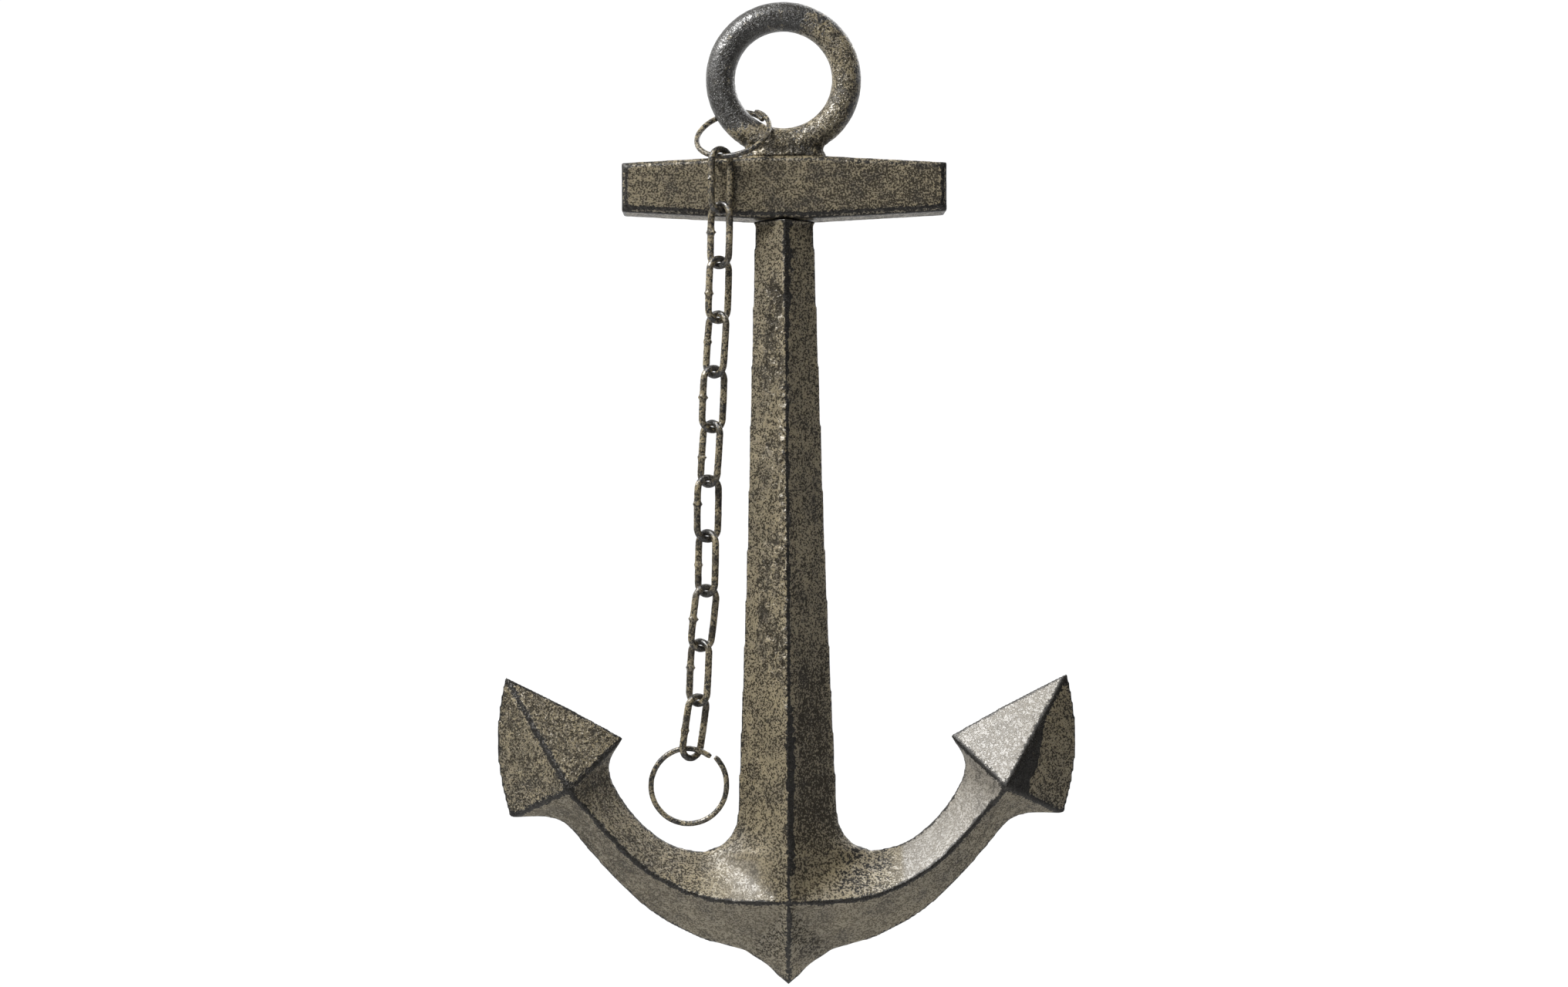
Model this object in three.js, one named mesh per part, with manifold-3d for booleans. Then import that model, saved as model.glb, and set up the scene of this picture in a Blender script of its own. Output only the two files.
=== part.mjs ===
// A stocked anchor, about 600 mm high, with an eye ring on top and a short chain hanging beside the shank.
// Millimetres. +Z runs up the shank, +X across the arms, and the front faces -Y.
// The origin is the highest point inside the eye ring, where the anchor hangs.
import * as THREE from "three";
import { mergeVertices } from "three/addons/utils/BufferGeometryUtils.js";
import Module from "manifold-3d";

const wasm = await Module();
wasm.setup();

// Driving dimensions
const GAP = 0.3; // play between pieces that touch
const EYE_BAR_RADIUS = 9;
const EYE_RADIUS = 38.5; // to the middle of the bar
const EYE_FOOT_RADIUS = 27; // half the length of the pad under the eye ring
const EYE_FOOT_HEIGHT = 9;
const STOCK_HALF_LENGTH = 98.4;
const STOCK_MIDDLE_HALF_HEIGHT = 19.1;
const STOCK_END_HALF_HEIGHT = 15;
const STOCK_FLAT_HALF = 20; // half the length of the level middle stretch
const STOCK_DEPTH = 27.4;
const STOCK_BEVEL = 2.6;
const SHANK_TOP_HALF_WIDTH = 18.2;
const SHANK_TOP_HALF_DEPTH = 13.4;
const WIRE_RADIUS = 1.65; // of the two loose rings
const RING_RADIUS = 22.6; // of the two loose rings, to the middle of the wire
const LINK_WIRE_RADIUS = 2.15;
const LINK_BOW_RADIUS = 6.6; // to the middle of the wire
const LINK_PITCH = 32.9;
const HOOK_PLAY = 0.5; // between the upper ring's wire and the first link
const LOWER_RING_PLAY = 2.2; // between the last link and the lower ring's wire
const HOOK_ASIDE = THREE.MathUtils.degToRad(6); // from the lowest point of the upper ring to the first link
// Link by link, in degrees: the turn from facing the front, with the left leg forward, and the lean to the left.
const LINK_TURNS = [36, -36, 34, -40, 28, -43, 26, -42, 28, -38, 40];
const LINK_LEANS = [0.8, 1.4, 2.2, 3.9, 2.8, 4, 1.3, 1.4, 6.6, 3, 8.3];
const LOWER_RING_LEAN = 3; // degrees

const EYE_CENTRE_Z = -(EYE_RADIUS - EYE_BAR_RADIUS);
const EYE_BOTTOM_Z = EYE_CENTRE_Z - EYE_RADIUS - EYE_BAR_RADIUS;
const STOCK_TOP_Z = EYE_BOTTOM_Z - GAP;
const STOCK_CENTRE_Z = STOCK_TOP_Z - STOCK_MIDDLE_HALF_HEIGHT;
const SHANK_TOP_Z = STOCK_CENTRE_Z - STOCK_MIDDLE_HALF_HEIGHT - GAP;

const anchor = new THREE.Group();

// Materials
const castIron = { color: 0x6f665a, roughness: 0.72, metalness: 0.45 };
const chainSteel = { color: 0x5b5449, roughness: 0.6, metalness: 0.6 };

function addMesh(parent, name, geometry, look) {
  const mesh = new THREE.Mesh(geometry, new THREE.MeshStandardMaterial(look));
  mesh.name = name;
  parent.add(mesh);
  return mesh;
}

// Solids
function toSolid(geometry) {
  const bare = geometry.clone();
  bare.deleteAttribute("normal");
  bare.deleteAttribute("uv");
  const merged = mergeVertices(bare, 1e-4);
  return new wasm.Manifold(
    new wasm.Mesh({
      numProp: 3,
      vertProperties: merged.attributes.position.array,
      triVerts: new Uint32Array(merged.index.array),
    }),
  );
}

function toGeometry(solid) {
  const mesh = solid.getMesh();
  const geometry = new THREE.BufferGeometry();
  geometry.setAttribute("position", new THREE.BufferAttribute(mesh.vertProperties, 3));
  geometry.setIndex(new THREE.BufferAttribute(mesh.triVerts, 1));
  geometry.computeVertexNormals();
  return geometry;
}

// A closed skin over a row of sections that each hold the same number of points.
function loft(sections) {
  const sides = sections[0].length;
  const last = sections.length - 1;
  const index = [];
  for (let row = 0; row < last; row++) {
    for (let side = 0; side < sides; side++) {
      const next = (side + 1) % sides;
      const a = row * sides + side;
      const b = row * sides + next;
      index.push(a, b, a + sides);
      index.push(b, b + sides, a + sides);
    }
  }
  for (let side = 1; side < sides - 1; side++) {
    index.push(0, side + 1, side);
    index.push(last * sides, last * sides + side, last * sides + side + 1);
  }
  const geometry = new THREE.BufferGeometry().setFromPoints(sections.flat());
  geometry.setIndex(index);
  return geometry;
}

// Shank and crown: a diamond section that widens downwards, flares into the arms and ends in a point.
// Each row is a height below the origin, a half width and a half depth.
const SHANK_SECTIONS = [
  [-SHANK_TOP_Z, SHANK_TOP_HALF_WIDTH, SHANK_TOP_HALF_DEPTH],
  [240, 22, 18],
  [310, 24, 20.5],
  [380, 26.6, 23.2],
  [453, 29.7, 26],
  [475, 30.6, 27],
  [484, 32.2, 27.5],
  [491, 36, 28],
  [496, 41.5, 28.4],
  [499.6, 50, 28.6],
  [526, 33, 30],
  [550, 31, 20.5],
  [562, 26, 13.5],
  [569, 15.3, 9],
  [574, 9.5, 5.5],
  [582, 0.4, 0.4],
];

const SHANK_STEPS = 60;

// A curve through rows of numbers, taken as the x, y and z of its points.
function smoothCurve(rows) {
  return new THREE.CatmullRomCurve3(rows.map((row) => new THREE.Vector3(...row)), false, "centripetal");
}

function shankGeometry() {
  const profile = smoothCurve(SHANK_SECTIONS);
  const sections = [];
  for (let step = 0; step <= SHANK_STEPS; step++) {
    const { x: depth, y: halfWidth, z: halfDepth } = profile.getPoint(step / SHANK_STEPS);
    sections.push([
      new THREE.Vector3(halfWidth, 0, -depth),
      new THREE.Vector3(0, -halfDepth, -depth),
      new THREE.Vector3(-halfWidth, 0, -depth),
      new THREE.Vector3(0, halfDepth, -depth),
    ]);
  }
  return loft(sections);
}

// Arms and flukes: diamond sections from the crown to the tip of a fluke, along three rails.
// A rail's point is its distance from the middle and its height below the origin; the ridge's
// third number is how far it stands off the middle plane, at the front and at the back.
const ARM_INNER = [
  [0, 499.6],
  [30, 499.6],
  [50, 499.5],
  [71.5, 494.4],
  [86, 484],
  [98.5, 469.5],
  [107.3, 453],
  [107.3, 443.5],
  [99.3, 430],
];
const ARM_OUTER = [
  [0, 563],
  [30, 560.5],
  [58, 550.5],
  [82, 537],
  [103, 518.5],
  [121.5, 498],
  [135.8, 482],
  [147, 478.1],
  [169, 478.5],
];
const ARM_RIDGE = [
  [0, 526, 30],
  [29, 526, 28],
  [50, 523.5, 26],
  [69, 516.5, 23.5],
  [88, 505.5, 21],
  [107, 487.5, 19.5],
  [120, 472.5, 20.5],
  [126.5, 465, 23],
  [130.7, 458.5, 27],
];
const ARM_STEPS = 48;
const FLUKE_TIP = new THREE.Vector3(171.5, 0, -392);
const FLUKE_STEPS = 8;
const FLUKE_BULGE = 6.5; // how far the outer edge of a fluke bows out
const FLUKE_CROWN = 1; // how far its upper edge bows up
const TIP_SHARE = 0.985; // of the way to the tip, where the fluke is cut off blunt

function rail(points) {
  return smoothCurve(points.map(([x, depth, y = 0]) => [x, -y, -depth]));
}

function diamondAt(inner, ridge, outer) {
  const back = new THREE.Vector3(ridge.x, -ridge.y, ridge.z);
  return [inner, ridge, outer, back];
}

function armSections() {
  const rails = [ARM_INNER, ARM_RIDGE, ARM_OUTER].map(rail);
  const sections = [];
  for (let step = 0; step <= ARM_STEPS; step++) {
    const along = step / ARM_STEPS;
    sections.push(diamondAt(...rails.map((curve) => curve.getPoint(along))));
  }
  return sections;
}

function flukeSections(base) {
  const sections = [];
  for (let step = 1; step <= FLUKE_STEPS; step++) {
    const share = (step / FLUKE_STEPS) * TIP_SHARE;
    const bow = Math.sin(Math.PI * share);
    const [inner, ridge, outer] = base.map((corner) => corner.clone().lerp(FLUKE_TIP, share));
    inner.z += FLUKE_CROWN * bow;
    outer.x += FLUKE_BULGE * bow;
    sections.push(diamondAt(inner, ridge, outer));
  }
  return sections;
}

function armsGeometry() {
  const arm = armSections();
  const right = [...arm, ...flukeSections(arm[ARM_STEPS])];
  const mirror = new THREE.Vector3(-1, 1, 1);
  const left = right.slice(1).map((section) => section.map((corner) => corner.clone().multiply(mirror)));
  return loft([...left.reverse(), ...right]);
}

const casting = toSolid(shankGeometry()).add(toSolid(armsGeometry()));
addMesh(anchor, "shank_and_arms", toGeometry(casting), castIron);

// Stock: a bevelled bar, level in the middle and tapering to both ends.
function stockGeometry() {
  const endX = STOCK_HALF_LENGTH - STOCK_BEVEL;
  const middle = STOCK_MIDDLE_HALF_HEIGHT - STOCK_BEVEL;
  const end = STOCK_END_HALF_HEIGHT - STOCK_BEVEL;
  const outline = new THREE.Shape([
    new THREE.Vector2(-endX, -end),
    new THREE.Vector2(-STOCK_FLAT_HALF, -middle),
    new THREE.Vector2(STOCK_FLAT_HALF, -middle),
    new THREE.Vector2(endX, -end),
    new THREE.Vector2(endX, end),
    new THREE.Vector2(STOCK_FLAT_HALF, middle),
    new THREE.Vector2(-STOCK_FLAT_HALF, middle),
    new THREE.Vector2(-endX, end),
  ]);
  const core = STOCK_DEPTH - 2 * STOCK_BEVEL;
  const geometry = new THREE.ExtrudeGeometry(outline, {
    depth: core,
    bevelSize: STOCK_BEVEL,
    bevelThickness: STOCK_BEVEL,
    bevelSegments: 1,
  });
  return geometry.translate(0, 0, -core / 2).rotateX(Math.PI / 2);
}

const stock = addMesh(anchor, "stock", stockGeometry(), castIron);
stock.position.z = STOCK_CENTRE_Z;

// Eye ring: a round bar bent into a ring, standing on a rough pad.
function eyeRingGeometry() {
  const ring = new THREE.TorusGeometry(EYE_RADIUS, EYE_BAR_RADIUS, 24, 64).rotateX(Math.PI / 2);
  const narrow = EYE_FOOT_RADIUS * 0.75;
  const foot = new THREE.CylinderGeometry(narrow, EYE_FOOT_RADIUS, EYE_FOOT_HEIGHT, 20);
  foot.rotateX(Math.PI / 2).scale(1, (EYE_BAR_RADIUS + 1) / EYE_FOOT_RADIUS, 1);
  const ringBottom = EYE_BOTTOM_Z - EYE_CENTRE_Z;
  foot.translate(0, 0, ringBottom + EYE_FOOT_HEIGHT / 2);
  return toGeometry(toSolid(ring).add(toSolid(foot)));
}

const eyeRing = addMesh(anchor, "eye_ring", eyeRingGeometry(), castIron);
eyeRing.position.z = EYE_CENTRE_Z;

// Loose rings: wire bent round until its ends almost meet.
class RingCurve extends THREE.Curve {
  constructor(openAt, opening) {
    super();
    this.start = openAt + opening / 2;
    this.turn = 2 * Math.PI - opening;
  }

  getPoint(share, target = new THREE.Vector3()) {
    const angle = this.start + this.turn * share;
    return target.set(RING_RADIUS * Math.cos(angle), 0, RING_RADIUS * Math.sin(angle));
  }
}

function looseRingGeometry(openAtDegrees, openingLength) {
  const section = new THREE.Shape().absarc(0, 0, WIRE_RADIUS, 0, 2 * Math.PI);
  const openAt = THREE.MathUtils.degToRad(openAtDegrees);
  const path = new RingCurve(openAt, openingLength / RING_RADIUS);
  return new THREE.ExtrudeGeometry(section, { extrudePath: path, steps: 32, curveSegments: 4 });
}

// The upper ring leans forward round the lower left of the eye ring and over the edge of the stock.
const UPPER_RING_CENTRE = new THREE.Vector3(-31.05, -5.65, -63.4);
const UPPER_RING_ROLL = THREE.MathUtils.degToRad(16.9);
const UPPER_RING_TILT = THREE.MathUtils.degToRad(48.1);
const upperRing = addMesh(anchor, "upper_ring", looseRingGeometry(28, 0.8), chainSteel);
upperRing.position.copy(UPPER_RING_CENTRE);
upperRing.rotation.set(-UPPER_RING_TILT, -UPPER_RING_ROLL, 0, "YXZ");

// The point on the upper ring's wire where the chain hangs, a little left of the lowest one.
upperRing.updateMatrix();
function hookOnUpperRing() {
  const right = new THREE.Vector3(1, 0, 0).applyEuler(upperRing.rotation);
  const up = new THREE.Vector3(0, 0, 1).applyEuler(upperRing.rotation);
  const angle = Math.atan2(-up.z, -right.z) - HOOK_ASIDE;
  const place = new THREE.Vector3(RING_RADIUS * Math.cos(angle), 0, RING_RADIUS * Math.sin(angle));
  return place.applyMatrix4(upperRing.matrix);
}

// Links: a wire ring cut across the middle and drawn apart.
const LINK_INNER_LENGTH = LINK_PITCH + GAP;
const LINK_HALF_LENGTH = LINK_INNER_LENGTH / 2 + LINK_WIRE_RADIUS; // to the middle of the wire
const LINK_STEPS = 20;

function linkGeometry() {
  const halfLeg = LINK_HALF_LENGTH - LINK_BOW_RADIUS;
  const geometry = new THREE.TorusGeometry(LINK_BOW_RADIUS, LINK_WIRE_RADIUS, 8, LINK_STEPS);
  geometry.rotateZ(Math.PI / LINK_STEPS); // so that a step spans each leg
  const place = geometry.attributes.position;
  for (let i = 0; i < place.count; i++) {
    place.setY(i, place.getY(i) + Math.sign(place.getY(i)) * halfLeg);
  }
  return geometry.rotateX(Math.PI / 2);
}

// Hangs a piece so that its middle is below the given point, and returns the point that far below the middle.
function hang(piece, point, above, below, leanDegrees, turnDegrees) {
  const lean = THREE.MathUtils.degToRad(leanDegrees);
  const down = new THREE.Vector3(-Math.sin(lean), 0, -Math.cos(lean));
  piece.rotation.set(0, lean, THREE.MathUtils.degToRad(turnDegrees));
  piece.position.copy(point).addScaledVector(down, above);
  return piece.position.clone().addScaledVector(down, below);
}

// Each piece hangs from the middle of the wire above it.
let wireAbove = hookOnUpperRing();
let drop = WIRE_RADIUS + HOOK_PLAY + LINK_WIRE_RADIUS;
LINK_LEANS.forEach((lean, number) => {
  const name = "link_" + String(number + 1).padStart(2, "0");
  const link = addMesh(anchor, name, linkGeometry(), chainSteel);
  wireAbove = hang(link, wireAbove, LINK_HALF_LENGTH - drop, LINK_HALF_LENGTH, lean, LINK_TURNS[number]);
  drop = 2 * LINK_WIRE_RADIUS + GAP;
});

// The lower ring hangs from the last link and faces the front.
const lowerRing = addMesh(anchor, "lower_ring", looseRingGeometry(50, 2), chainSteel);
const lowerRingDrop = LINK_WIRE_RADIUS + LOWER_RING_PLAY + WIRE_RADIUS;
hang(lowerRing, wireAbove, RING_RADIUS - lowerRingDrop, 0, LOWER_RING_LEAN, 0);

export default anchor;
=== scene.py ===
"""The looks of a stocked anchor with a short chain: crackled taupe paint over dark cast metal.

Metres, +Z up along the shank, +X across the arms, front towards -Y. The origin is the inner top of the eye
ring. Each casting starts as a copy of its CAD solid, is remeshed finely, rounded, filleted and given relief.
"""
import math

import bmesh
import bpy
import numpy as np
from mathutils import Matrix, Vector, noise


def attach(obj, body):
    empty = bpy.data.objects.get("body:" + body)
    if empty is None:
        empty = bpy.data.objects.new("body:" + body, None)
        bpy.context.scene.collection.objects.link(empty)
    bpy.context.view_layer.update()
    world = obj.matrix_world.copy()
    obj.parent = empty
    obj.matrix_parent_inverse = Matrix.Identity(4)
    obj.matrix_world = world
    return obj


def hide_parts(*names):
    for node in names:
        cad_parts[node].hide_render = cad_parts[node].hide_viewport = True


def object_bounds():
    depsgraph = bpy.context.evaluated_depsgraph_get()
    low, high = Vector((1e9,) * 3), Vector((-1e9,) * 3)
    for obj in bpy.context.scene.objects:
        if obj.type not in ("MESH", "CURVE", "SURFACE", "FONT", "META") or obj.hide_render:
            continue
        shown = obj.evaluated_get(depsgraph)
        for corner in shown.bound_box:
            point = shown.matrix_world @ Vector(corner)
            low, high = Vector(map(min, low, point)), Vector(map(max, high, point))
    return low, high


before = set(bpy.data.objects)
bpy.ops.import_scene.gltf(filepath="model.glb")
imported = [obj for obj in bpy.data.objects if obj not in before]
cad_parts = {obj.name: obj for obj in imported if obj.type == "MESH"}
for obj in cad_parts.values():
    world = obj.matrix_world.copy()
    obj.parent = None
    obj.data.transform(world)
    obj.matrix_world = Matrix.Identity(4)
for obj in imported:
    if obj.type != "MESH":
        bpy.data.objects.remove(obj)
cad_low, cad_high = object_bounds()

MM = 0.001


def add_object(name, data):
    made = bpy.data.objects.new(name, data)
    bpy.context.scene.collection.objects.link(made)
    return made


def add_built(name, made):
    """An object with the mesh that was built in made."""
    mesh = bpy.data.meshes.new(name)
    made.to_mesh(mesh)
    made.free()
    return add_object(name, mesh)


# ---------------------------------------------------------------- camera
CAMERA_DISTANCE = 1.4
CAMERA_AIM = Vector((-0.0011, 0, -0.2819))
CAMERA_YAW = math.radians(1.0)  # the camera stands a little to the left
CAMERA_PITCH = math.radians(0.31)  # and a little below what it looks at
CAMERA_ROLL = math.radians(-0.316)
FRAME_WIDTH = 0.9556  # of what the camera sees at the middle plane
SENSOR_WIDTH = 36.0


def add_camera():
    data = bpy.data.cameras.new("camera")
    data.sensor_width = SENSOR_WIDTH
    data.lens = SENSOR_WIDTH * CAMERA_DISTANCE / FRAME_WIDTH
    camera = add_object("camera", data)
    right = Vector((math.cos(CAMERA_YAW), -math.sin(CAMERA_YAW), 0))
    level = Vector((math.sin(CAMERA_YAW), math.cos(CAMERA_YAW), 0))
    forward = level * math.cos(CAMERA_PITCH) + Vector((0, 0, math.sin(CAMERA_PITCH)))
    turn = Matrix((right, right.cross(forward), -forward)).transposed().to_4x4()
    place = Matrix.Translation(CAMERA_AIM - forward * CAMERA_DISTANCE)
    camera.matrix_world = place @ turn @ Matrix.Rotation(CAMERA_ROLL, 4, "Z")
    bpy.context.scene.camera = camera


add_camera()


# ---------------------------------------------------------------- node materials
class Nodes:
    """A short way to write a node tree: each call adds a node and returns its output."""

    def __init__(self, name):
        self.material = bpy.data.materials.new(name)
        self.material.use_nodes = True
        self.tree = self.material.node_tree
        self.tree.nodes.clear()

    def fill(self, socket, value):
        if isinstance(value, bpy.types.NodeSocket):
            self.tree.links.new(value, socket)
        else:
            socket.default_value = value

    def add(self, kind, output=0, settings=None, **inputs):
        node = self.tree.nodes.new(kind)
        for key, value in (settings or {}).items():
            setattr(node, key, value)
        for key, value in inputs.items():
            self.fill(node.inputs[key.replace("_", " ")], value)
        return node.outputs[output]

    def add_in_order(self, kind, settings, values):
        """For nodes whose inputs are told apart by their order and not by name."""
        node = self.tree.nodes.new(kind)
        for key, value in settings.items():
            setattr(node, key, value)
        for socket, value in zip(node.inputs, values):
            self.fill(socket, value)
        return node.outputs[0]

    def math(self, operation, *values):
        return self.add_in_order("ShaderNodeMath", {"operation": operation}, values)

    def times(self, a, b):
        return self.math("MULTIPLY", a, b)

    def scaled(self, a, factor, rest):
        """a times factor, plus rest."""
        return self.math("MULTIPLY_ADD", a, factor, rest)

    def larger(self, a, b):
        return self.math("MAXIMUM", a, b)

    def smooth(self, value, low, high, to_low=0.0, to_high=1.0):
        settings = {"interpolation_type": "SMOOTHSTEP"}
        return self.add_in_order("ShaderNodeMapRange", settings, (value, low, high, to_low, to_high))

    def line(self, value, low, high):
        """1 along the curves where a noise passes its middle, 0 away from them."""
        return self.smooth(self.math("ABSOLUTE", self.math("SUBTRACT", value, 0.5)), low, high, 1.0, 0.0)

    def mix(self, factor, a, b):
        node = self.tree.nodes.new("ShaderNodeMix")
        node.data_type = "RGBA"
        for socket, given in ((node.inputs[0], factor), (node.inputs[6], a), (node.inputs[7], b)):
            self.fill(socket, given)
        return node.outputs[2]

    def blend(self, factor, a, b):
        return self.add_in_order("ShaderNodeMixShader", {}, (factor, a, b))

    def attribute(self, name):
        return self.add("ShaderNodeAttribute", "Fac", {"attribute_name": name})

    def finish(self, surface):
        output = self.tree.nodes.new("ShaderNodeOutputMaterial")
        self.tree.links.new(surface, output.inputs["Surface"])
        return self.material


# ---------------------------------------------------------------- paint
PAINT_LIGHT = (0.362, 0.290, 0.157, 1)
PAINT_MIDDLE = (0.286, 0.228, 0.119, 1)
PAINT_BROWN = (0.146, 0.111, 0.054, 1)
# painted sheen: the silver towards which faces turned to the key light are mixed
PAINTED_SHEEN_SILVER = (0.262, 0.243, 0.216, 1)
METAL_DARK = (0.0105, 0.009, 0.007, 1)
CRACK_DARK = (0.036, 0.028, 0.014, 1)
PAINT_IOR = 1.8  # a metallic sheen: more than a plain paint's
PAINT_SPECULAR = 1.0
PAINT_ROUGHNESS = 0.36

# scales of the noises, per metre
PATCHES, BLOTCHES, CLUMPS, CREASES, WANDER, WORMS, SPECKS, GRIT = 22, 80, 300, 330, 520, 760, 880, 2600
WIDE_CRACKS = 150  # cells per metre
WANDER_REACH = 2.4 * MM  # how far the borders of the cells stray

CALM_HIDES = 0.3  # the share of the crackle that an even skin lacks; on faces with painted sheen, losing it also lightens them
CRACKS_DULL = 0.75  # the share of its sheen that the paint loses in cracks
METAL_HIDES = 0.55  # the share of that loss that bare metal is spared
BUMP_STRENGTH = 0.8
BUMP_DEPTH = 0.26 * MM
HAMMERED_HEIGHT = 11.0  # heights of bumps, against the crackle's depth of 1
CREASE_DEPTH = 5.0
CLUMP_HEIGHT = 1.6
GRIT_HEIGHT = 0.5


class Paint(Nodes):
    """Paint crackled over dark metal. dark adds mottling.

    Four attributes of the mesh steer it: edge, where the metal is rubbed bare; coarse, where the paint is
    wrinkled; the one for even paint, which above 1 marks a painted silvery sheen on faces turned to the key
    light; and hollow, browner in the dips of the relief, which also carries painted shade: darker paint on
    the shank's low right and the stock's right."""

    def __init__(self, name, dark):
        super().__init__(name)
        self.dark = dark
        self.place = self.add("ShaderNodeTexCoord", "Object")
        self.edge = self.attribute("edge")
        self.calm = self.attribute("calm")
        self.coarse = self.attribute("coarse")
        self.hollow = self.attribute("hollow")
        self.blotches = self.noise(BLOTCHES, 3, 0.6)
        self.clumps = self.noise(CLUMPS)
        self.specks = self.noise(SPECKS, 2, 0.6)
        self.grit = self.noise(GRIT, 2, 0.6)
        self.wrinkle = self.noise(CREASES, 2, 0.6)
        self.creases = self.times(self.line(self.wrinkle, 0.006, 0.046), self.smooth(self.coarse, 0.15, 0.6))
        self.cracks = self.crackle()
        self.bare = self.bareness()

    def noise(self, scale, detail=3.0, rough=0.55, output="Fac"):
        return self.add(
            "ShaderNodeTexNoise", output, Vector=self.place, Scale=scale, Detail=detail, Roughness=rough,
        )

    def cell_borders(self):
        """The distance to the borders of cells; the borders wander."""
        reach = (WANDER_REACH,) * 3
        strayed = self.add_in_order(
            "ShaderNodeVectorMath", {"operation": "MULTIPLY_ADD"},
            (self.noise(WANDER, 2, output="Color"), reach, self.place),
        )
        return self.add(
            "ShaderNodeTexVoronoi", "Distance", {"feature": "DISTANCE_TO_EDGE"},
            Vector=strayed, Scale=WIDE_CRACKS,
        )

    def crackle(self):
        """Dark lines and pits between islands of paint, denser in some places than in others."""
        density = self.scaled(self.math("SUBTRACT", self.clumps, 0.5), 0.30, self.times(self.blotches, 0.16))
        pitted = self.math("ADD", self.specks, self.math("SUBTRACT", density, 0.08))
        # the hollow attribute adds pits: in the dips of the relief, and where shade is painted
        pits = self.smooth(self.scaled(self.hollow, 0.10, pitted), 0.498, 0.532)
        worms = self.line(self.noise(WORMS, 2, 0.5), 0.008, 0.034)
        worms = self.times(worms, self.smooth(self.clumps, 0.40, 0.56, 0.1, 0.95))
        wide = self.smooth(self.cell_borders(), 0.0, 0.085, 1.0, 0.0)
        wide = self.times(wide, self.smooth(self.blotches, 0.41, 0.52))
        wide = self.times(wide, self.smooth(self.coarse, 0.1, 0.5))
        everything = self.larger(self.larger(worms, pits), self.larger(wide, self.creases))
        return self.times(everything, self.scaled(self.calm, -CALM_HIDES, 1.0))

    def bareness(self):
        """Bare metal where ridges are rubbed, with ragged borders, and in stains."""
        ragged = self.scaled(self.clumps, 1.3, self.scaled(self.specks, 1.3, -1.3))
        rubbed = self.smooth(self.scaled(ragged, self.smooth(self.edge, 0.0, 0.2), self.edge), 0.24, 0.50)
        stain = self.scaled(self.specks, 0.35, self.blotches)
        stain = self.smooth(stain, 0.77 - self.dark * 0.13, 0.87 - self.dark * 0.11)
        return self.larger(self.times(rubbed, 0.95), self.times(stain, 0.3))

    def colour(self):
        paint = self.mix(self.smooth(self.noise(PATCHES), 0.35, 0.65), PAINT_MIDDLE, PAINT_LIGHT)
        mottled = self.times(self.smooth(self.blotches, 0.42, 0.62), 0.35 + self.dark * 0.6)
        paint = self.mix(mottled, paint, PAINT_BROWN)
        # dirt specks, and browner paint from the hollow attribute: in the dips of the relief, and painted
        # shade where it is put
        dirt_and_painted_shade = self.larger(self.smooth(self.grit, 0.56, 0.70, 0.0, 0.55), self.times(self.hollow, 0.7))
        paint = self.mix(dirt_and_painted_shade, paint, PAINT_BROWN)
        # painted sheen: where the attribute for even paint is above 1, on faces turned to the key light, the
        # paint is mixed towards silver
        paint = self.mix(self.smooth(self.calm, 1.1, 1.6, 0.0, 0.7), paint, PAINTED_SHEEN_SILVER)
        paint = self.mix(self.times(self.cracks, 0.96), paint, CRACK_DARK)
        return self.mix(self.bare, paint, METAL_DARK)

    def shine(self, polish):
        """Cracks and bare metal lose the paint's sheen; polish is the bare metal's."""
        dulled = self.times(self.cracks, self.scaled(self.bare, -METAL_HIDES, 1.0))
        return self.times(self.scaled(dulled, -CRACKS_DULL, 1.0), self.scaled(self.bare, polish - 1, 1.0))

    def roughness(self, gloss):
        rough = self.scaled(self.cracks, 0.16, PAINT_ROUGHNESS - gloss)
        rough = self.scaled(self.bare, -0.10, rough)
        return self.scaled(self.calm, 0.045, rough)

    def bump(self):
        height = self.scaled(self.cracks, -1.0, self.times(self.clumps, CLUMP_HEIGHT))
        height = self.scaled(self.grit, GRIT_HEIGHT, height)
        hammered = self.times(self.times(self.wrinkle, self.coarse), HAMMERED_HEIGHT)
        height = self.scaled(self.creases, -CREASE_DEPTH, self.math("ADD", height, hammered))
        height = self.times(height, self.scaled(self.bare, -0.4, 1.0))
        return self.add(
            "ShaderNodeBump", "Normal", Height=height, Strength=BUMP_STRENGTH, Distance=BUMP_DEPTH,
        )


def paint_material(name, dark=0.0, gloss=0.0, polish=0.35):
    """dark adds mottling, gloss adds sheen, polish is the bare metal's shine."""
    n = Paint(name, dark)
    surface = n.add(
        "ShaderNodeBsdfPrincipled", "BSDF",
        Base_Color=n.colour(), Metallic=n.math("SUBTRACT", 1.0, n.shine(polish)),
        Roughness=n.roughness(gloss), IOR=PAINT_IOR, Specular_IOR_Level=PAINT_SPECULAR, Normal=n.bump(),
    )
    return n.finish(surface)


casting_paint = paint_material("crackled_taupe_paint")
stock_paint = paint_material("darker_taupe_paint", dark=0.45)
ring_paint = paint_material("paint_on_polished_metal", dark=0.4, gloss=0.03, polish=0.83)
chain_paint = paint_material("mottled_chain_paint", dark=1.0, gloss=0.06, polish=0.7)


# ---------------------------------------------------------------- mesh work
POLISH_IN = 0.55
POLISH_OUT = -0.53
FILLET_SHARE = 0.8
FILLET_REFRESH = 20  # rounds between two looks at the normals


def read_vectors(vertices, key):
    values = np.empty(len(vertices) * 3, np.float32)
    vertices.foreach_get(key, values)
    return values.reshape(-1, 3).astype(float)


def points_of(mesh):
    return read_vectors(mesh.vertices, "co")


def normals_of(mesh):
    return read_vectors(mesh.vertices, "normal")


def put_points(mesh, places):
    mesh.vertices.foreach_set("co", places.astype(np.float32).ravel())
    mesh.update()


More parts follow.
